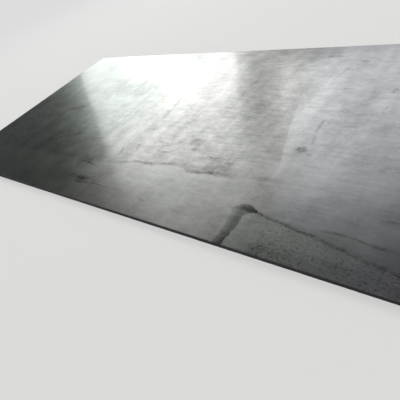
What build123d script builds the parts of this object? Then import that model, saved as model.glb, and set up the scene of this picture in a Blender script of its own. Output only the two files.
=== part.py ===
"""A hot-rolled steel plate: one flat rectangular piece of stock with sheared edges.

Millimetres, +Z up. The plate lies flat. The origin is at the middle of its underside, +X runs along
its length (the rolling direction) and +Y across its width.

A shear leaves three bands round all four sides, from the top down: the upper edge is drawn down into
a small round, below it the blade leaves a smooth upright land, and below the land the steel breaks
away in a rough face that leans inwards to the underside.
"""

import os
from math import atan2, degrees

from build123d import *

# Plate
plate_length = 6000.0
plate_width = 2000.0
plate_thickness = 25.0

# Corners, as seen from above
corner_radius = 4.0

# Sheared sides, from the top down
drawn_down_radius = 2.0
smooth_land_height = 6.0
break_lean = 1.2

# The broken face takes what the two bands above it leave of the thickness
break_height = plate_thickness - drawn_down_radius - smooth_land_height
break_angle = degrees(atan2(break_lean, break_height))

os.makedirs("parts", exist_ok=True)

# The plate: the outline at the foot of the smooth land, carried straight up and leaning in downwards
with BuildPart() as plate:
    with BuildSketch(Plane.XY.offset(break_height)) as outline:
        RectangleRounded(plate_length, plate_width, corner_radius)
    extrude(amount=plate_thickness - break_height)
    extrude(outline.sketch, amount=-break_height, taper=break_angle)
    upper_rim = plate.faces().sort_by(Axis.Z)[-1].outer_wire().edges()
    fillet(upper_rim, radius=drawn_down_radius)

plate.part.label = "plate"
export_step(plate.part, "parts/plate.step")
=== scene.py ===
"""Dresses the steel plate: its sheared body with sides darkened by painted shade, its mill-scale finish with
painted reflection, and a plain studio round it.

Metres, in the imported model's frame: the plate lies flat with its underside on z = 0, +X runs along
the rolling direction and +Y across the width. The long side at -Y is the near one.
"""

import math

import bmesh
import bpy
from mathutils import Matrix, Vector, noise


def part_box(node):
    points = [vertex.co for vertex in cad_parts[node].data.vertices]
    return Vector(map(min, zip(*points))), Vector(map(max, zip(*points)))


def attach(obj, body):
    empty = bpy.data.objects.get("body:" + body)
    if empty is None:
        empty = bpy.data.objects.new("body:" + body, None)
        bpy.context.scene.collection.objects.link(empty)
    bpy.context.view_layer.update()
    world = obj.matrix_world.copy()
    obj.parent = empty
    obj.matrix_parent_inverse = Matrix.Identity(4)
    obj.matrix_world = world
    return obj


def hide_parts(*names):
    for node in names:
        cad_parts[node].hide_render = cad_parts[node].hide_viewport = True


bl_info = {
    "name": "Steel Plate",
    "version": (1, 0, 0),
    "blender": (4, 5, 0),
    "location": "3D View > Sidebar > Steel Plate",
    "description": "Builds a sheared steel plate with a mill-scale finish, and a studio to look at it in",
    "category": "Object",
}

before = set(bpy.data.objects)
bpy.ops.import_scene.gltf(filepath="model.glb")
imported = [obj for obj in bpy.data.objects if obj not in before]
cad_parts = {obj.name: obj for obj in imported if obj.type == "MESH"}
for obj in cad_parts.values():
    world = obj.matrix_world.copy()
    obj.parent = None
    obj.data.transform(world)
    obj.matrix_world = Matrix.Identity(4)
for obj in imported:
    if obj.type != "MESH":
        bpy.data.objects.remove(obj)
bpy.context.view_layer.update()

PLATE_NODE = "plate"
PLATE_LOW, PLATE_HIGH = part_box(PLATE_NODE)

# The body's material slots
MILL_SCALE = 0
SHEARED_SIDE = 1

# Rows of faces on the drawn-down round and on the broken face
ROUND_ROWS = 4
BREAK_ROWS = 5

# Wear of the sides: its features per metre, its mean as a share of the deepest, and the share of it
# that the round and the smooth land get
WEAR_FINENESS = 14.0
WEAR_MEAN = 0.35
LAND_WEAR = 0.2

# Dips of the upper face: their features per metre along x and y, and how far in from the sides they
# reach their full depth
DIP_FINENESS = (0.9, 1.3)
DIP_RIM = 0.3

# Heights between which the marks of the upper face set in, and where the broken face meets the land
UPPER_FACE = (0.010, 0.015)
LAND_FOOT = (0.0165, 0.0175)

# The marks below are in metres as seen from above, x along the plate and y across it

# Border of the long stain above the near side: dry and pale below it, oily above
UPPER_TIDE = (
    (-1.60, -0.655), (-1.25, -0.640), (-1.04, -0.614), (-0.94, -0.592), (-0.85, -0.571), (-0.78, -0.572),
    (-0.69, -0.557), (-0.60, -0.543), (-0.52, -0.537), (-0.46, -0.540), (-0.43, -0.555), (-0.40, -0.570),
    (-0.34, -0.571), (-0.27, -0.557), (-0.22, -0.555), (-0.17, -0.563), (-0.13, -0.564), (-0.07, -0.554),
    (0.04, -0.530), (0.30, -0.520), (0.60, -0.500),
)

# The two lines that run to the right from the top of the wipe mark
LOWER_TIDE = (
    (0.19, -0.748), (0.25, -0.763), (0.30, -0.775), (0.36, -0.784), (0.47, -0.804), (0.57, -0.822),
    (0.62, -0.832), (0.72, -0.855), (0.80, -0.870), (0.88, -0.886), (1.30, -0.925), (1.80, -0.960),
    (2.30, -1.000),
)
SECOND_TIDE = (
    (0.19, -0.760), (0.54, -0.771), (0.60, -0.768), (0.66, -0.767), (0.73, -0.779), (0.79, -0.786),
    (0.85, -0.792), (1.20, -0.825), (1.60, -0.875), (2.00, -0.950),
)

# Upper border of the dull skin between and below them
DULL_BORDER = (
    (0.10, -0.730), (0.19, -0.748), (0.30, -0.775), (0.47, -0.804), (0.52, -0.800), (0.56, -0.772),
    (0.66, -0.767), (0.79, -0.786), (0.85, -0.792), (1.20, -0.825), (1.60, -0.875), (2.00, -0.950),
    (2.40, -1.000),
)

# Where the dry strip on the right starts and ends, and how far below and above their upper borders the
# dry strips set in
RIGHT_STRIP = (0.163, 1.9)
LEFT_BORDER_SOFT = (-0.010, 0.004)
RIGHT_BORDER_SOFT = (-0.006, 0.004)

# Where the oil was wiped up from the near side: x of its two borders for each y
WIPE_LEFT = (
    (-1.000, 0.090), (-0.950, 0.092), (-0.900, 0.088), (-0.840, 0.078), (-0.800, 0.068), (-0.765, 0.064),
    (-0.740, 0.074), (-0.727, 0.090), (-0.717, 0.108), (-0.708, 0.132), (-0.700, 0.150),
)
WIPE_RIGHT = (
    (-1.000, 0.156), (-0.950, 0.153), (-0.925, 0.160), (-0.906, 0.154), (-0.890, 0.161), (-0.855, 0.160),
    (-0.820, 0.154), (-0.795, 0.154), (-0.780, 0.163), (-0.768, 0.186), (-0.760, 0.214), (-0.750, 0.212),
    (-0.735, 0.190), (-0.722, 0.165), (-0.712, 0.142), (-0.700, 0.120),
)

# Left border of the painted reflection, a paler field right of the middle: x for each y
PAINTED_REFLECTION_BORDER = (
    (-0.40, 0.140), (-0.26, 0.090), (-0.02, 0.010), (0.20, -0.046), (0.38, -0.074), (0.51, -0.090),
)

# Share of an oval smear's reach over which it is at its darkest, and how far past its ends a tide line
# fades out
SMEAR_CORE = 0.3
TIDE_FADE = 0.12

# Oval smears: x, y, length, width, turn in degrees and how dark, less than 0 where they are pale
SMEARS = (
    # Near the left end; the first two draw a dark straight line across the plate, 0.3 m in from the end
    (-2.695, -0.520, 0.34, 0.040, 92, 0.30),
    (-2.706, -0.340, 0.26, 0.024, 91, 0.16),
    (-2.247, -0.020, 0.30, 0.110, 15, 0.32),
    (-2.510, 0.010, 0.16, 0.060, 27, 0.18),
    (-1.800, -0.375, 0.19, 0.050, 15, 0.22),
    (-1.710, -0.520, 0.30, 0.080, 18, 0.12),
    (-1.288, -0.667, 0.34, 0.026, -7, 0.36),
    (-1.383, -0.703, 0.14, 0.030, 99, 0.16),
    (-1.323, -0.814, 0.13, 0.030, 21, 0.22),
    (-1.185, -0.812, 0.27, 0.060, 8, 0.34),
    (-1.160, -0.852, 0.22, 0.040, 1, 0.30),
    (-1.195, -0.825, 0.13, 0.120, 0, 0.22),
    (-1.350, -0.585, 0.20, 0.100, 45, -0.14),
    (-1.024, -0.842, 0.32, 0.022, 0, 0.30),
    (-1.021, -0.813, 0.26, 0.018, 0, 0.22),

    # Columns across the plate, left of the middle
    (-1.454, -0.155, 0.56, 0.024, 96, 0.26),
    (-1.106, -0.493, 0.19, 0.032, 105, 0.26),
    (-1.152, -0.298, 0.19, 0.036, 91, 0.22),
    (-1.191, -0.110, 0.20, 0.040, 84, 0.18),
    (-0.993, -0.418, 0.19, 0.038, 107, 0.24),
    (-1.029, -0.209, 0.12, 0.034, 85, 0.24),
    (-1.060, -0.018, 0.17, 0.034, 95, 0.28),
    (-1.080, 0.154, 0.18, 0.030, 100, 0.24),
    (-1.378, 0.195, 0.20, 0.030, 82, 0.18),
    (-1.532, 0.426, 0.18, 0.040, 86, 0.20),
    (-1.365, 0.462, 0.17, 0.046, 76, 0.30),
    (-1.353, 0.630, 0.12, 0.034, 59, 0.24),
    (-0.470, -0.479, 0.15, 0.024, 93, 0.16),

    # Blots left of the middle
    (-0.844, -0.338, 0.13, 0.060, 9, 0.20),
    (-0.699, -0.331, 0.12, 0.050, 30, 0.20),
    (-0.689, -0.423, 0.15, 0.034, 21, 0.16),
    (-0.892, -0.140, 0.12, 0.040, 41, 0.14),
    (-0.912, 0.030, 0.12, 0.040, 71, 0.16),
    (-0.787, 0.103, 0.14, 0.060, 74, 0.16),
    (-0.545, -0.290, 0.16, 0.110, 20, 0.34),
    (-0.502, -0.362, 0.12, 0.060, 10, 0.34),
    (-0.420, -0.430, 0.16, 0.130, 0, 0.10),
    (-0.320, -0.417, 0.12, 0.024, 0, 0.18),
    (-0.200, -0.556, 0.10, 0.018, -9, 0.16),
    (-0.185, -0.455, 0.17, 0.060, 20, 0.18),
    (-0.470, 0.070, 0.22, 0.020, -4, 0.16),
    (-0.750, 0.360, 0.28, 0.020, 0, 0.12),
    (-0.260, -0.090, 0.20, 0.016, -3, 0.14),

    # In the dry strip on the left
    (-0.820, -0.700, 0.08, 0.040, 30, 0.12),
    (-0.527, -0.873, 0.07, 0.026, 0, 0.30),
    (-0.190, -0.882, 0.30, 0.012, -9, 0.14),
    (-0.210, -0.840, 0.05, 0.016, 0, 0.16),

    # Right of the middle; the first darkens a broad oval above the wipe mark
    (0.150, -0.620, 0.30, 0.340, 0, 0.15),
    (0.360, -0.220, 0.30, 0.360, 0, 0.08),
    (0.235, -0.761, 0.10, 0.020, -16, 0.15),
    (0.201, -0.015, 0.22, 0.036, 98, 0.26),
    (0.226, -0.146, 0.11, 0.034, 101, 0.20),
    (0.194, -0.241, 0.11, 0.090, -10, 0.36),
    (0.256, -0.276, 0.09, 0.034, -21, 0.20),
    (0.694, -0.309, 0.16, 0.110, 0, 0.14),
    (0.820, -0.637, 0.16, 0.016, 0, 0.20),
    (0.400, -0.965, 0.36, 0.130, 0, 0.13),
    (0.720, -0.950, 0.22, 0.090, 0, 0.06),
    (0.498, 0.191, 0.16, 0.034, 91, 0.14),
    (0.473, 0.393, 0.08, 0.046, 90, 0.30),
    (0.077, 0.633, 0.14, 0.034, 83, 0.20),
    (0.011, 0.551, 0.09, 0.034, 79, 0.14),
    (0.193, 0.413, 0.08, 0.022, 0, 0.16),
    (-0.070, 0.850, 0.20, 0.032, -6, 0.24),
    (0.155, 0.770, 0.13, 0.040, -22, 0.22),
    (0.350, 0.747, 0.16, 0.018, 0, 0.22),
)

# Paler or darker fields with straight borders: x and y of two opposite corners and how pale
FIELDS = (
    (-2.43, 0.235, -1.57, 0.520, -0.08),
    (0.140, 0.120, 0.450, 0.360, -0.035),
    (0.230, 0.010, 0.430, 0.112, -0.035),
    (-0.42, -0.604, -0.10, -0.576, 0.04),
)

# Kinds of ray that see the backdrop, how far out the floor fades into it, and the height of its soft
# upper edge as a sine of the elevation
RAYS = ("Is Camera Ray", "Is Glossy Ray", "Is Transmission Ray")
FLOOR_FADE = (3.5, 9.0)
BACKDROP_TOP = (0.12, 0.20)

# How far the floor lies below the plate, so that the two don't flicker
FLOOR_GAP = 0.0005

# Which way the overhead lamp stands, and how wide it looks from the plate, in degrees
OVERHEAD_WAY = (1.0, -1.7, 3.4)
OVERHEAD_SPREAD = 40.0

# Softboxes, placed by where the camera sees them mirrored in the plate: name, azimuths from +X and
# elevations in degrees, and how bright their own faces are
SOFTBOXES = (
    ("left_row_1_inner", (128.3, 136.0), (8.0, 14.0), 3.0),
    ("left_row_1_middle", (136.0, 143.0), (8.0, 14.0), 4.0),
    ("left_row_1_outer", (143.0, 149.1), (8.0, 14.0), 2.3),
    ("left_row_2_inner", (129.0, 136.5), (14.0, 20.0), 2.9),
    ("left_row_2_middle", (136.5, 143.5), (14.0, 20.0), 4.6),
    ("left_row_2_outer", (143.5, 149.7), (14.0, 20.0), 2.5),
    ("left_row_3_inner", (129.8, 140.5), (20.0, 26.0), 4.4),
    ("left_row_3_outer", (140.5, 150.7), (20.0, 26.0), 2.7),
    ("left_row_4", (131.5, 151.6), (26.0, 33.0), 2.5),
    ("left_row_5", (134.0, 152.2), (33.0, 42.0), 1.0),
    ("between_low_left", (127.0, 129.8), (8.0, 24.0), 1.4),
    ("between_low_right", (124.0, 127.0), (8.0, 24.0), 0.55),
    ("between_high", (125.0, 131.0), (24.0, 37.0), 0.35),
    ("right_row_1_inner", (116.0, 124.6), (24.0, 31.0), 3.5),
    ("right_row_1_outer", (104.0, 116.0), (24.0, 31.0), 2.8),
    ("right_row_1_border", (124.6, 126.6), (20.0, 31.0), 1.0),
    ("right_row_2_inner", (116.0, 126.5), (31.0, 37.0), 2.1),
    ("right_row_2_outer", (104.0, 116.0), (31.0, 37.0), 1.9),
    ("right_row_3", (104.0, 134.5), (37.0, 42.0), 2.0),
)


# Shader expressions


class Wire:
    """A shader socket that takes part in Python expressions: arithmetic on it adds Math nodes."""

    def __init__(self, tree, socket):
        self.tree = tree
        self.socket = socket

    def node(self, kind, settings=None, values=None, output=0):
        """Adds a node of any kind: first its settings, then its sockets' values or links."""
        made = self.tree.nodes.new(kind)
        for name, setting in (settings or {}).items():
            setattr(made, name, setting)
        for key, value in (values or {}).items():
            if isinstance(value, Wire):
                self.tree.links.new(value.socket, made.inputs[key])
            else:
                made.inputs[key].default_value = value
        return Wire(self.tree, made.outputs[output])

    def maths(self, operation, *values):
        """Adds a Math node that reads wires and plain numbers."""
        return self.node("ShaderNodeMath", {"operation": operation}, dict(enumerate(values)))

    def __add__(self, other):
        return self.maths("ADD", self, other)

    def __radd__(self, other):
        return self.maths("ADD", other, self)

    def __sub__(self, other):
        return self.maths("SUBTRACT", self, other)

    def __rsub__(self, other):
        return self.maths("SUBTRACT", other, self)

    def __mul__(self, other):
        return self.maths("MULTIPLY", self, other)

    def __rmul__(self, other):
        return self.maths("MULTIPLY", other, self)

    def __abs__(self):
        return self.maths("ABSOLUTE", self)


def rise(value, low, high):
    """0 up to low, 1 from high, and smooth in between."""
    # A smooth step ends at 0 and 1 by itself, and so many clamps on top are more than Cycles can hold
    settings = {"interpolation_type": "SMOOTHSTEP", "clamp": False}
    return value.node("ShaderNodeMapRange", settings, {"Value": value, "From Min": low, "From Max": high})


def between(value, low, high, soft):
    """1 from low to high, falling to 0 over soft outside them."""
    return rise(value, low - soft, low) * (1.0 - rise(value, high, high + soft))


def axis(place, number):
    """One coordinate of a place."""
    return place.node("ShaderNodeSeparateXYZ", values={"Vector": place}, output=number)


def stretched(at, scale, shift=(0.0, 0.0, 0.0)):
    """The place at with each axis scaled, then moved by shift."""
    return at.node("ShaderNodeMapping", values={"Vector": at, "Location": shift, "Scale": scale})


def clouds(at, scale, detail=2.0, rough=0.5, shift=(0.0, 0.0, 0.0)):
    """Soft noise about 0, with scale as features per metre along each axis."""
    values = {"Vector": stretched(at, scale, shift), "Scale": 1.0, "Detail": detail, "Roughness": rough}
    return at.node("ShaderNodeTexNoise", values=values) - 0.5


def ragged(at, scale, reach):
    """The place at, shaken up to reach by noise, so that what is drawn there has a ragged border."""
    values = {"Vector": at, "Scale": scale, "Detail": 3.0}
    shake = at.node("ShaderNodeTexNoise", values=values, output=1)
    centred = shake.node("ShaderNodeVectorMath", {"operation": "SUBTRACT"}, {0: shake, 1: (0.5, 0.5, 0.5)})
    values = {0: centred, 1: (2 * reach, 2 * reach, 0.0), 2: at}
    return centred.node("ShaderNodeVectorMath", {"operation": "MULTIPLY_ADD"}, values)


def drawn(value, points):
    """The height at value of a curve drawn through points."""
    first, last = points[0][0], points[-1][0]
    low = min(height for place, height in points)
    high = max(height for place, height in points)
    ends = {"Value": value, "From Min": first, "From Max": last}
    across = value.node("ShaderNodeMapRange", values=ends)
    curve = across.node("ShaderNodeFloatCurve", values={"Value": across})
    mapping = curve.socket.node.mapping
    knots = mapping.curves[0].points
    while len(knots) < len(points):
        knots.new(0.5, 0.5)
    for knot, (place, height) in zip(knots, points):
        knot.location = ((place - first) / (last - first), (height - low) / (high - low))
    mapping.update()
    return curve * (high - low) + low


def smear(at, x, y, length, width, turn):
    """1 in the middle of an oval and 0 outside it."""
    values = {
        "Vector": at,
        "Location": (x, y, 0.0),
        "Rotation": (0.0, 0.0, math.radians(turn)),
        "Scale": (length / 2, width / 2, 1.0),
    }
    inside = at.node("ShaderNodeMapping", {"vector_type": "TEXTURE"}, values)
    reach = inside.node("ShaderNodeVectorMath", {"operation": "LENGTH"}, {0: inside}, output=1)
    return 1.0 - rise(reach, SMEAR_CORE, 1.0)


def blend_colour(mask, dark, light):
    """The colour dark where mask is 0 and light where it is 1."""
    return mask.node("ShaderNodeMix", {"data_type": "RGBA"}, {0: mask, 6: dark, 7: light}, output=2)


def bumped(height, distance):
    """A surface normal from a height map that spans distance."""
    return height.node("ShaderNodeBump", values={"Height": height, "Distance": distance, "Strength": 1.0})


def new_finish(name):
    """An empty material, its Principled shader and the Object coordinates that its patterns read."""
    material = bpy.data.materials.new(name)
    material.use_nodes = True
    tree = material.node_tree
    place = tree.nodes.new("ShaderNodeTexCoord")
    return material, tree.nodes["Principled BSDF"], Wire(tree, place.outputs["Object"])


def feed(shader, **sockets):
    """Links wires to the shader's sockets, or sets plain values on them."""
    for name, value in sockets.items():
        socket = shader.inputs[name.replace("_", " ")]
        if isinstance(value, Wire):
            value.tree.links.new(value.socket, socket)
        else:
            socket.default_value = value


# Finishes, with painted reflection on the mill scale and painted shade on the sides


def opaque(colour):
    """The colour with full alpha."""
    return (*colour, 1.0)


def rolled_tone(at, x):
    """Uneven darkness of the rolled skin, about 0: clouds, columns across the plate and hatching along it."""
    broad = clouds(at, (0.7, 1.4, 1.0), detail=2.0)
    blotches = clouds(at, (6.0, 9.0, 1.0), detail=5.0, rough=0.85, shift=(3.1, 0.0, 0.0))
    columns = clouds(at, (7.5, 1.3, 1.0), detail=3.0, rough=0.55, shift=(0.4, 5.2, 0.0))
    hatch = clouds(at, (5.5, 36.0, 1.0), detail=3.0, rough=0.6, shift=(0.0, 0.0, 2.0))
    calm = rise(x, 0.0, 0.2) * (1.0 - rise(axis(at, 1), -0.50, 0.15))
    lively = 0.90 + 0.22 * rise(x, -1.9, -1.5) - 0.25 * rise(x, -0.35, 0.15) - 0.42 * calm
    hatched = 0.24 + 0.26 * between(x, -0.85, -0.20, 0.15)
    return 0.14 * broad + lively * (1.05 * blotches + 0.55 * columns) + hatched * hatch


def tide_line(at, x, above, width, first, last):
    """A thin dried border where above is 0, of uneven thickness, broken up and fading out at both ends."""
    uneven = 1.0 + 2.4 * clouds(at, (30.0, 30.0, 1.0), detail=3.0, rough=0.7, shift=(6.0, 0.0, 0.0))
    near = 1.0 - rise(abs(above) * uneven, 0.3 * width, width)
    broken = 0.25 + 0.75 * rise(clouds(at, (18.0, 40.0, 1.0), detail=4.0, rough=0.8), -0.12, 0.12)
    return near * broken * between(x, first, last, TIDE_FADE)


def smudge_above(at, x, above):
    """Dirt that gathered above the upper tide line: dark at the line and gone a hand's width above it."""
    patchy = rise(clouds(at, (11.0, 22.0, 1.0), detail=4.0, rough=0.7, shift=(2.0, 4.0, 0.0)), -0.16, 0.10)
    thick = rise(above, -0.004, 0.002) * (1.0 - rise(above, 0.035, 0.085))
    dark = (0.50 + 0.50 * rise(x, -0.38, -0.30)) * between(x, -0.405, -0.240, 0.030)
    return thick * dark * (0.35 + 0.65 * patchy)


def fringe_below(at, x, above):
    """Fine specks in a narrow band along the lower tide line."""
    specks = rise(clouds(at, (70.0, 70.0, 1.0), detail=2.0, rough=0.6, shift=(9.0, 2.0, 0.0)), 0.04, 0.14)
    return specks * between(above, 0.0, 0.012, 0.030) * between(x, 0.28, 1.40, 0.10)


def wipe_mark(x, y):
    """How dark the place is where the oil was wiped up: deepest along its right border and at its top."""
    inner = x - drawn(y, WIPE_LEFT)
    outer = drawn(y, WIPE_RIGHT) - x
    inside = rise(inner, -0.004, 0.016) * rise(outer, -0.003, 0.003) * (1.0 - rise(y, -0.722, -0.708))
    top = rise(y, -0.790, -0.745)
    foot = 1.0 - rise(y, -0.950, -0.860)
    return inside * (0.12 + 0.20 * rise(inner, 0.0, 0.060) + 0.08 * top + 0.11 * foot)


def stains(at, tight, x, y, wipe):
    """How dark the smears, the wipe mark and the tide lines are."""
    loose = ragged(at, 14.0, 0.022)
    patchy = 0.8 + 3.0 * clouds(at, (30.0, 60.0, 1.0), detail=3.0, rough=0.7)
    smears = sum(smear(loose, *oval) * dark for *oval, dark in SMEARS) * patchy
    tip = smear(tight, 0.187, -0.752, 0.062, 0.024, -28)

    above_upper = y - drawn(x, UPPER_TIDE)
    above_lower = y - drawn(x, LOWER_TIDE)
    upper_line = tide_line(at, x, above_upper - 0.009, 0.024, -1.00, 0.14)
    lower_line = tide_line(at, x, above_lower, 0.014, 0.20, 1.90)
    second_line = tide_line(at, x, y - drawn(x, SECOND_TIDE), 0.012, 0.62, 1.60)
    upper_dark = (0.16 + 0.20 * (1.0 - rise(x, -0.60, -0.50))) * (1.0 - 0.85 * between(x, -0.455, 0.02, 0.03))

    spots = smears + wipe + 0.32 * smudge_above(at, x, above_upper) + 0.10 * fringe_below(at, x, above_lower)
    return spots + 0.05 * tip + upper_dark * upper_line + 0.30 * lower_line + 0.24 * second_line


def dry_strips(x, y, upper):
    """Where the near side is dry: the pale strip on the left, the dull one on the right, its pitted part."""
    pale = 1.0 - rise(y - drawn(x, UPPER_TIDE), *LEFT_BORDER_SOFT)
    pale = pale * (1.0 - rise(x, -0.04, 0.10)) * upper
    right = between(x, *RIGHT_STRIP, 0.008) * upper
    dull = (1.0 - rise(y - drawn(x, DULL_BORDER), *RIGHT_BORDER_SOFT)) * right
    pitted = (1.0 - rise(y - drawn(x, LOWER_TIDE), *RIGHT_BORDER_SOFT)) * right
    return pale, dull, pitted


def pits(at, x, y):
    """How dark the pits are: a fine grain all over, and spots that crowd together in places."""
    crowding = 1.3 * clouds(at, (4.0, 9.0, 1.0), detail=4.0, rough=0.65) + rise(x, 0.20, 0.34)
    crowd = rise(crowding - 1.6 * (y + 0.90), 0.45, 1.05)
    grain = rise(clouds(at, (80.0, 80.0, 1.0), detail=3.0, rough=0.85, shift=(0.0, 1.0, 0.0)), -0.14, 0.16)
    spots = rise(clouds(at, (70.0, 74.0, 1.0), detail=2.0, rough=0.6, shift=(5.0, 1.0, 0.0)), 0.04, 0.15)
    patches = clouds(at, (10.0, 14.0, 1.0), detail=3.0, rough=0.6, shift=(3.0, 7.0, 0.0))
    fine = (0.09 + 0.07 * crowd) * grain + (0.06 + 0.12 * crowd) * spots
    return fine * (1.0 - 0.15 * rise(x, 0.35, 0.60)) + 0.13 * patches


def painted_reflection_and_fields(x, y):
    """How pale the painted reflection right of the middle is, with its sharp left border, and the
    straight-sided fields.
    """
    # pale is the painted reflection: a paler field with a sharp left border
    past = x - drawn(y, PAINTED_REFLECTION_BORDER)
    reach = 0.06 + 0.19 * rise(y, -0.38, 0.00)
    pale = rise(past, -0.004, 0.010) * (1.0 - rise(past, 0.02, reach)) * between(y, -0.33, 0.05, 0.30)
    straight = sum(
        between(x, x0, x1, 0.01) * between(y, y0, y1, 0.008) * level for x0, y0, x1, y1, level in FIELDS
    )
    return 0.15 * pale + straight


def scale_colour_with_painted_reflection(look, tone, x, y, dull, wiped):
    """The skin's colour for a tone, with painted reflection hues: greenish at the left end, then olive, and
    bluish right of the middle.
    """
    # The green, olive and blue hues are painted reflection, laid over the skin's own dark and light tones
    olive_painted_reflection = rise(x, -1.9, -0.9) * (1.0 - 0.42 * dull) * (1.0 - 0.25 * wiped)
    bluish_painted_reflection = rise(x + 0.35 * y, -0.20, 0.30) * (1.0 - dull * (1.0 - rise(x, 0.25, 0.95))) * (1.0 - wiped)
    dark = blend_colour(olive_painted_reflection, opaque(look.dark_scale_painted_green_reflection), opaque(look.dark_scale_painted_olive_reflection))
    light = blend_colour(olive_painted_reflection, opaque(look.light_scale_painted_green_reflection), opaque(look.light_scale_painted_olive_reflection))
    dark = blend_colour(bluish_painted_reflection, dark, opaque(look.dark_scale_painted_blue_reflection))
    light = blend_colour(bluish_painted_reflection, light, opaque(look.light_scale_painted_blue_reflection))
    return blend_colour(tone, dark, light)


def rolled_skin_and_painted_reflection_finish(look):
    """The rolled skin of both wide faces, with the dried oil and dirt that lie on the upper one, and painted
    reflection in its hues and in a pale field right of the middle.
    """
    material, shader, at = new_finish("mill_scale_and_painted_reflection")

    # The marks are placed by slightly shaken coordinates, so their borders are ragged
    tight = ragged(at, 42.0, 0.008)
    x, y, z = (axis(tight, number) for number in range(3))
    upper = rise(z, *UPPER_FACE)
    left_strip, dull, right_strip = dry_strips(x, y, upper)
    wipe = wipe_mark(x, y)
    wiped = rise(wipe, 0.02, 0.12)

    tone = 0.5 + rolled_tone(at, x) * (1.0 - 0.45 * left_strip)
    tone = tone - stains(at, tight, x, y, wipe) * upper - pits(at, x, y) * right_strip
    # Adds the painted reflection right of the middle and the straight-sided fields
    tone = tone + painted_reflection_and_fields(x, y) * upper

    # The left strip is paler, the dull skin gets darker to the right, and the skin above it paler
    tone = tone + (0.20 - 0.12 * rise(x, -0.75, 0.05)) * left_strip * rise(x, -1.5, -1.0)
    tone = tone - (0.01 + 0.05 * rise(x, 0.7, 1.1)) * dull
    above_strip = rise(x, 0.50, 0.80) * between(y, -0.90, -0.70, 0.12) * (1.0 - right_strip) * upper
    tone = tone + 0.09 * above_strip

    dry = clouds(at, (4.0, 7.0, 1.0), detail=4.0, rough=0.6, shift=(7.7, 1.3, 0.0))
    oiled = 1.0 - 0.4 * left_strip - 0.7 * right_strip - 0.2 * wiped
    feed(
        shader,
        Base_Color=scale_colour_with_painted_reflection(look, tone, x, y, dull, wiped),
        Metallic=1.0 - 0.03 * right_strip,
        Roughness=look.gloss_roughness + 0.16 * dry + 0.03 * left_strip + 0.06 * right_strip,
        Coat_Weight=look.oil_weight * oiled + 0.8 * dry,
        Coat_Roughness=0.10,
        Coat_IOR=1.45,
    )
    return material


def side_finish_with_painted_shade(look):
    """The four sheared sides: a smooth land with upright score lines over a rough broken face, in dark
    colours deepened with painted shade.
    """
    material, shader, at = new_finish("sheared_side")
    z = axis(at, 2)
    land = rise(z, *LAND_FOOT)
    scores = clouds(at, (420.0, 420.0, 12.0), detail=2.0)
    crumbs = clouds(at, (160.0, 160.0, 260.0), detail=4.0, rough=0.7)
    stain = clouds(at, (6.0, 6.0, 30.0), detail=3.0)
    tone = 0.5 + 0.9 * stain + land * (0.5 * scores) + (1.0 - land) * (0.8 * crumbs)
    # The land and break colours are darkened with painted shade
    land_with_painted_shade = blend_colour(tone, opaque(look.dark_land_painted_shade), opaque(look.light_land_painted_shade))
    break_with_painted_shade = blend_colour(tone, opaque(look.dark_break_painted_shade), opaque(look.light_break_painted_shade))
    height = land * scores * 0.3 + (1.0 - land) * crumbs
    feed(
        shader,
        Base_Color=blend_colour(land, break_with_painted_shade, land_with_painted_shade),
        Metallic=0.5,
        Specular_IOR_Level=0.3,
        Roughness=0.75 - 0.20 * land,
        Normal=bumped(height, 0.0006),
    )
    return material


# The plate's body


def rim_move(core, radius, height, wear=0.0, seed=0.0):
    """A move for rim vertices: out from the core rectangle by radius, less a random wear, at this height."""

    def move(co):
        anchor = Vector((max(-core.x, min(core.x, co.x)), max(-core.y, min(core.y, co.y)), 0.0))
        away = Vector((co.x - anchor.x, co.y - anchor.y, 0.0)).normalized()
        grain = noise.fractal(Vector((co.x, co.y, seed)) * WEAR_FINENESS, 0.9, 2.0, 3)
        bite = wear * max(0.0, min(1.0, WEAR_MEAN + grain))
        place = anchor + away * (radius - bite)
        place.z = height
        return place

    return move


def extrude_rim(bm, move, slot):
    """Extrudes the mesh's open rim once, moves each new vertex where move says and paints the new faces."""
    rim = [edge for edge in bm.edges if edge.is_boundary]
    made = bmesh.ops.extrude_edge_only(bm, edges=rim)["geom"]
    for item in made:
        if isinstance(item, bmesh.types.BMVert):
            item.co = move(item.co)
        elif isinstance(item, bmesh.types.BMFace):
            item.material_index = slot


def crease_rim(bm):
    """Marks the mesh's open rim as a hard line."""
    for edge in bm.edges:
        if edge.is_boundary:
            edge.smooth = False


def sink_field(bm, half, top, depth):
    """Lets the upper face sink by up to depth here and there, and leaves its rim level, as rolling does."""
    along, across = DIP_FINENESS
    for vertex in bm.verts:
        if not vertex.is_boundary:
            swell = noise.fractal(Vector((vertex.co.x * along, vertex.co.y * across, 4.0)), 1.0, 2.0, 2)
            dip = 0.5 + 0.5 * max(-1.0, min(1.0, 1.6 * swell))
            inwards = min(half.x - abs(vertex.co.x), half.y - abs(vertex.co.y))
            vertex.co.z = top - depth * dip * min(1.0, inwards / DIP_RIM)


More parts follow.
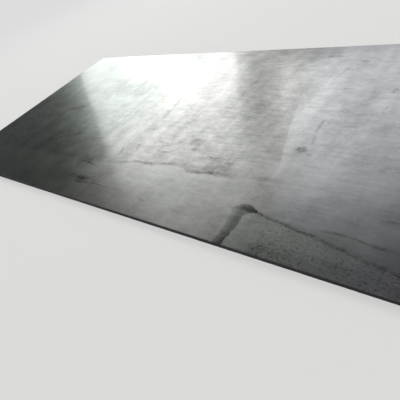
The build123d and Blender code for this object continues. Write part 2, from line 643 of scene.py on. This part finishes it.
def build_body(shape):
    """The plate as one closed mesh: a gridded top, sheared sides row by row, and a flat underside."""
    half = (PLATE_HIGH - PLATE_LOW) / 2
    top = PLATE_HIGH.z
    core = Vector((half.x - shape.corner_radius, half.y - shape.corner_radius))
    round_start = shape.corner_radius - shape.drawn_down_radius

    # The gridded field ends half way to the round, with rounded corners
    field_rim = round_start / 2
    spread = Matrix.Diagonal((core.x + field_rim, core.y + field_rim, 1.0, 1.0))
    bm = bmesh.new()
    bmesh.ops.create_grid(
        bm,
        x_segments=round(2 * core.x / shape.grid_step),
        y_segments=round(2 * core.y / shape.grid_step),
        size=1.0,
        matrix=Matrix.Translation((0.0, 0.0, top)) @ spread,
    )
    corners = [vertex for vertex in bm.verts if len(vertex.link_faces) == 1]
    bmesh.ops.bevel(
        bm, geom=corners, offset=field_rim, segments=4, profile=0.5, affect="VERTICES", material=-1
    )
    sink_field(bm, half, top, shape.unevenness)

    # The upper edge's drawn-down round
    extrude_rim(bm, rim_move(core, round_start, top), MILL_SCALE)
    for row in range(1, ROUND_ROWS + 1):
        angle = math.radians(90.0 / ROUND_ROWS * row)
        out = round_start + shape.drawn_down_radius * math.sin(angle)
        down = shape.drawn_down_radius * (1 - math.cos(angle))
        wear = LAND_WEAR * shape.side_wear * row / ROUND_ROWS
        # The lower half of the round takes the sides' finish and with it their painted shade, which keeps the
        # edge from showing a bright line
        slot = MILL_SCALE if row <= ROUND_ROWS // 2 else SHEARED_SIDE
        extrude_rim(bm, rim_move(core, out, top - down, wear), slot)

    # The smooth land, then the broken face down to the underside
    land_foot = top - shape.drawn_down_radius - shape.smooth_land
    wear = LAND_WEAR * shape.side_wear
    extrude_rim(bm, rim_move(core, shape.corner_radius, land_foot, wear), SHEARED_SIDE)
    crease_rim(bm)
    for row in range(1, BREAK_ROWS + 1):
        share = row / BREAK_ROWS
        out = shape.corner_radius - shape.break_lean * share
        move = rim_move(core, out, land_foot * (1 - share), shape.side_wear, seed=3.0 * row)
        extrude_rim(bm, move, SHEARED_SIDE)
    crease_rim(bm)

    rim = [edge for edge in bm.edges if edge.is_boundary]
    bmesh.ops.contextual_create(bm, geom=rim)
    bmesh.ops.recalc_face_normals(bm, faces=bm.faces)
    return bm


def finish_piece(name, bm, materials, node):
    """Makes the mesh a piece of the plate that stands for its CAD node."""
    mesh = bpy.data.meshes.new(name)
    for face in bm.faces:
        face.smooth = True
    bm.to_mesh(mesh)
    bm.free()
    for material in materials:
        mesh.materials.append(material)
    piece = bpy.data.objects.new(name, mesh)
    bpy.context.scene.collection.objects.link(piece)
    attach(piece, "root")
    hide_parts(node)


# Studio


def mirrored_place(studio, azimuth, elevation):
    """Where a lamp hangs so that the camera sees its mirror image in the plate in this direction."""
    eye = Vector(studio.camera_place)
    turn = math.radians(azimuth)
    out = studio.lamp_distance
    height = out * math.tan(math.radians(elevation)) - (eye.z - PLATE_HIGH.z)
    return Vector((eye.x + out * math.cos(turn), eye.y + out * math.sin(turn), height))


def add_softbox(studio, name, azimuths, elevations, radiance):
    """A soft upright lamp that shines back at the camera's foot, leans a little and isn't seen directly."""
    azimuth = sum(azimuths) / 2
    low = mirrored_place(studio, azimuth, elevations[0])
    high = mirrored_place(studio, azimuth, elevations[1])
    lamp = bpy.data.lights.new(name, "AREA")
    lamp.shape = "RECTANGLE"
    lamp.size = 2 * studio.lamp_distance * math.tan(math.radians(azimuths[1] - azimuths[0]) / 2)
    lamp.size_y = high.z - low.z
    lamp.energy = radiance * math.pi * lamp.size * lamp.size_y
    softbox = bpy.data.objects.new(name, lamp)
    inwards = Vector((studio.camera_place[0] - low.x, studio.camera_place[1] - low.y, 0.0))
    facing = inwards.to_track_quat("-Z", "Y").to_matrix().to_4x4()
    leaning = Matrix.Rotation(studio.lamp_lean, 4, inwards)
    softbox.matrix_world = Matrix.Translation((low + high) / 2) @ leaning @ facing
    softbox.visible_camera = False
    bpy.context.scene.collection.objects.link(softbox)


def build_lights(studio):
    """Two tall windows of softboxes behind the plate, a soft lamp overhead and the world around them."""
    for softbox in SOFTBOXES:
        add_softbox(studio, *softbox)
    lamp = bpy.data.lights.new("overhead", "SUN")
    lamp.energy = studio.overhead_light
    lamp.angle = math.radians(OVERHEAD_SPREAD)
    overhead = bpy.data.objects.new("overhead", lamp)
    overhead.rotation_euler = Vector(OVERHEAD_WAY).to_track_quat("Z", "Y").to_euler()
    bpy.context.scene.collection.objects.link(overhead)
    bpy.context.scene.world = build_room(studio)


def build_room(studio):
    """The world: an even soft light, a pale backdrop to look at, and its lower part mirrored in metal."""
    world = bpy.data.worlds.new("room")
    world.use_nodes = True
    tree = world.node_tree
    way = Wire(tree, tree.nodes.new("ShaderNodeTexCoord").outputs["Generated"])
    seen, mirrored, through = (way.node("ShaderNodeLightPath", output=name) for name in RAYS)
    behind = 1.0 - rise(axis(way, 2), *BACKDROP_TOP)
    shown = seen + (1.0 - seen) * behind
    looked_at = studio.ceiling_dark + (studio.backdrop - studio.ceiling_dark) * shown
    shining = seen + mirrored + through
    strength = studio.room_light + shining * (looked_at - studio.room_light)
    feed(tree.nodes["Background"], Color=(1.0, 1.0, 1.0, 1.0), Strength=strength)
    return world


def build_floor(studio):
    """A round pale floor under the plate, which fades into the backdrop further out."""
    bm = bmesh.new()
    bmesh.ops.create_circle(bm, cap_ends=True, segments=96, radius=studio.floor_radius)
    bmesh.ops.translate(bm, verts=bm.verts, vec=(0.0, 0.0, PLATE_LOW.z - FLOOR_GAP))
    mesh = bpy.data.meshes.new("floor")
    bm.to_mesh(mesh)
    bm.free()
    material, shader, at = new_finish("pale_floor")
    feed(shader, Base_Color=opaque(studio.floor_colour), Roughness=0.9, Specular_IOR_Level=0.1)
    distance = at.node("ShaderNodeVectorMath", {"operation": "LENGTH"}, {0: at}, output=1)
    shining = sum(at.node("ShaderNodeLightPath", output=name) for name in RAYS)
    glow = at.node("ShaderNodeEmission", values={"Strength": studio.backdrop})
    lit = Wire(at.tree, shader.outputs[0])
    faded = rise(distance, *FLOOR_FADE) * shining
    mixed = at.node("ShaderNodeMixShader", values={0: faded, 1: lit, 2: glow})
    at.tree.links.new(mixed.socket, at.tree.nodes["Material Output"].inputs["Surface"])
    mesh.materials.append(material)
    floor = bpy.data.objects.new("floor", mesh)
    bpy.context.scene.collection.objects.link(floor)


def build_camera(studio):
    """The camera, at the photograph's viewing angle."""
    lens = bpy.data.cameras.new("camera")
    lens.lens = studio.lens
    camera = bpy.data.objects.new("camera", lens)
    turn = Matrix.Rotation(studio.camera_heading, 4, "Z")
    tilt = Matrix.Rotation(studio.camera_tilt, 4, "X")
    roll = Matrix.Rotation(studio.camera_roll, 4, "Z")
    camera.matrix_world = Matrix.Translation(studio.camera_place) @ turn @ tilt @ roll
    bpy.context.scene.collection.objects.link(camera)
    bpy.context.scene.camera = camera


# Settings


class PlateShape(bpy.types.PropertyGroup):
    """Sizes of the plate's sheared body"""

    grid_step: bpy.props.FloatProperty(
        name="Grid step", description="Spacing of the wide faces' vertices",
        default=0.020, unit="LENGTH",
    )
    corner_radius: bpy.props.FloatProperty(
        name="Corner radius", description="Round of the four corners, from above",
        default=0.004, unit="LENGTH",
    )
    drawn_down_radius: bpy.props.FloatProperty(
        name="Drawn-down radius", description="Round that the shear leaves on the upper edge",
        default=0.002, unit="LENGTH",
    )
    smooth_land: bpy.props.FloatProperty(
        name="Smooth land", description="Height of the upright land below the round",
        default=0.006, unit="LENGTH",
    )
    break_lean: bpy.props.FloatProperty(
        name="Break lean", description="How far the broken face leans in at the underside",
        default=0.0012, unit="LENGTH",
    )
    side_wear: bpy.props.FloatProperty(
        name="Side wear", description="Deepest unevenness of the sheared sides",
        default=0.0007, unit="LENGTH",
    )
    unevenness: bpy.props.FloatProperty(
        name="Unevenness", description="Deepest dip of the upper face",
        default=0.0010, unit="LENGTH",
    )


class PlateLook(bpy.types.PropertyGroup):
    """Colours and gloss of the plate's finishes, with painted reflection in the mill scale's hues and painted
    shade in the sides' colours
    """

    # The six mill scale colours below carry painted reflection: their green, olive and blue hues stand in for
    # the surroundings that the skin mirrors
    dark_scale_painted_green_reflection: bpy.props.FloatVectorProperty(
        name="Dark green", description="Darkest mill scale at the left end",
        default=(0.0165, 0.0205, 0.0175), subtype="COLOR",
    )
    light_scale_painted_green_reflection: bpy.props.FloatVectorProperty(
        name="Light green", description="Palest mill scale at the left end",
        default=(0.380, 0.446, 0.393), subtype="COLOR",
    )
    dark_scale_painted_olive_reflection: bpy.props.FloatVectorProperty(
        name="Dark olive", description="Darkest mill scale left of the middle",
        default=(0.020, 0.0205, 0.019), subtype="COLOR",
    )
    light_scale_painted_olive_reflection: bpy.props.FloatVectorProperty(
        name="Light olive", description="Palest mill scale left of the middle",
        default=(0.412, 0.423, 0.395), subtype="COLOR",
    )
    dark_scale_painted_blue_reflection: bpy.props.FloatVectorProperty(
        name="Dark blue", description="Darkest mill scale right of the middle",
        default=(0.020, 0.020, 0.021), subtype="COLOR",
    )
    light_scale_painted_blue_reflection: bpy.props.FloatVectorProperty(
        name="Light blue", description="Palest mill scale right of the middle",
        default=(0.400, 0.409, 0.428), subtype="COLOR",
    )
    gloss_roughness: bpy.props.FloatProperty(
        name="Roughness", description="Roughness of the mill scale",
        default=0.30, subtype="FACTOR",
    )
    oil_weight: bpy.props.FloatProperty(
        name="Oil film", description="Weight of the thin oil film on the mill scale",
        default=0.5, subtype="FACTOR",
    )
    # The four side colours below are the sides' own dark colours, darkened further with painted shade
    dark_land_painted_shade: bpy.props.FloatVectorProperty(
        name="Dark land", description="Darker colour of the smooth land",
        default=(0.014, 0.015, 0.017), subtype="COLOR",
    )
    light_land_painted_shade: bpy.props.FloatVectorProperty(
        name="Light land", description="Paler colour of the smooth land",
        default=(0.040, 0.042, 0.046), subtype="COLOR",
    )
    dark_break_painted_shade: bpy.props.FloatVectorProperty(
        name="Dark break", description="Darker colour of the broken face",
        default=(0.007, 0.007, 0.008), subtype="COLOR",
    )
    light_break_painted_shade: bpy.props.FloatVectorProperty(
        name="Light break", description="Paler colour of the broken face",
        default=(0.030, 0.031, 0.033), subtype="COLOR",
    )


class StudioSetup(bpy.types.PropertyGroup):
    """Floor, lamps and camera"""

    floor_radius: bpy.props.FloatProperty(
        name="Floor radius", description="How far the floor reaches",
        default=150.0, unit="LENGTH",
    )
    floor_colour: bpy.props.FloatVectorProperty(
        name="Floor colour", description="Colour of the plain floor",
        default=(0.74, 0.74, 0.73), subtype="COLOR",
    )
    room_light: bpy.props.FloatProperty(
        name="Room light", description="Brightness of the even light from all round",
        default=0.16,
    )
    backdrop: bpy.props.FloatProperty(
        name="Backdrop", description="Brightness of the pale backdrop",
        default=0.72,
    )
    ceiling_dark: bpy.props.FloatProperty(
        name="Ceiling", description="Brightness of the dim ceiling that the metal mirrors",
        default=0.04,
    )
    overhead_light: bpy.props.FloatProperty(
        name="Overhead light", description="Strength of the soft lamp overhead",
        default=2.5,
    )
    lamp_distance: bpy.props.FloatProperty(
        name="Lamp distance", description="How far from the camera's foot the softboxes stand",
        default=20.0, unit="LENGTH",
    )
    lamp_lean: bpy.props.FloatProperty(
        name="Lamp lean", description="How far the softboxes lean to the left",
        default=math.radians(11.0), subtype="ANGLE",
    )
    lens: bpy.props.FloatProperty(
        name="Lens", description="Focal length in millimetres",
        default=37.98,
    )
    camera_place: bpy.props.FloatVectorProperty(
        name="Camera place", description="Where the camera stands",
        default=(1.292, -1.902, 1.393), subtype="TRANSLATION",
    )
    camera_heading: bpy.props.FloatProperty(
        name="Heading", description="Turn of the camera about the vertical",
        default=math.radians(51.73), subtype="ANGLE",
    )
    camera_tilt: bpy.props.FloatProperty(
        name="Tilt", description="Tilt of the camera up from straight down",
        default=math.radians(53.35), subtype="ANGLE",
    )
    camera_roll: bpy.props.FloatProperty(
        name="Roll", description="Roll of the camera about its own axis",
        default=math.radians(-23.47), subtype="ANGLE",
    )


# Operators


class STEELPLATE_OT_plate(bpy.types.Operator):
    """Build the plate with its sheared sides and finishes, with painted reflection on the mill scale and
    painted shade on the sides
    """

    bl_idname = "steelplate.plate"
    bl_label = "Plate"

    def execute(self, context):
        look = context.scene.plate_look
        materials = [rolled_skin_and_painted_reflection_finish(look), side_finish_with_painted_shade(look)]
        body = build_body(context.scene.plate_shape)
        finish_piece("steel_plate", body, materials, PLATE_NODE)
        return {"FINISHED"}


class STEELPLATE_OT_studio(bpy.types.Operator):
    """Set up the floor, the lamps and the camera"""

    bl_idname = "steelplate.studio"
    bl_label = "Studio"

    def execute(self, context):
        studio = context.scene.studio_setup
        build_floor(studio)
        build_lights(studio)
        build_camera(studio)
        context.scene.view_settings.view_transform = "Standard"
        return {"FINISHED"}


class STEELPLATE_PT_panel(bpy.types.Panel):
    """Sidebar panel of the steel plate"""

    bl_label = "Steel Plate"
    bl_idname = "STEELPLATE_PT_panel"
    bl_space_type = "VIEW_3D"
    bl_region_type = "UI"
    bl_category = "Steel Plate"

    def draw(self, context):
        for operator in OPERATORS:
            self.layout.operator(operator.bl_idname)


SETTINGS = {"plate_shape": PlateShape, "plate_look": PlateLook, "studio_setup": StudioSetup}
OPERATORS = (STEELPLATE_OT_plate, STEELPLATE_OT_studio)
CLASSES = (*SETTINGS.values(), *OPERATORS, STEELPLATE_PT_panel)


def register():
    for item in CLASSES:
        bpy.utils.register_class(item)
    for name, group in SETTINGS.items():
        setattr(bpy.types.Scene, name, bpy.props.PointerProperty(type=group))


def unregister():
    for name in SETTINGS:
        delattr(bpy.types.Scene, name)
    for item in reversed(CLASSES):
        bpy.utils.unregister_class(item)


def main():
    register()
    bpy.ops.steelplate.plate()
    bpy.ops.steelplate.studio()


if __name__ == "__main__":
    main()
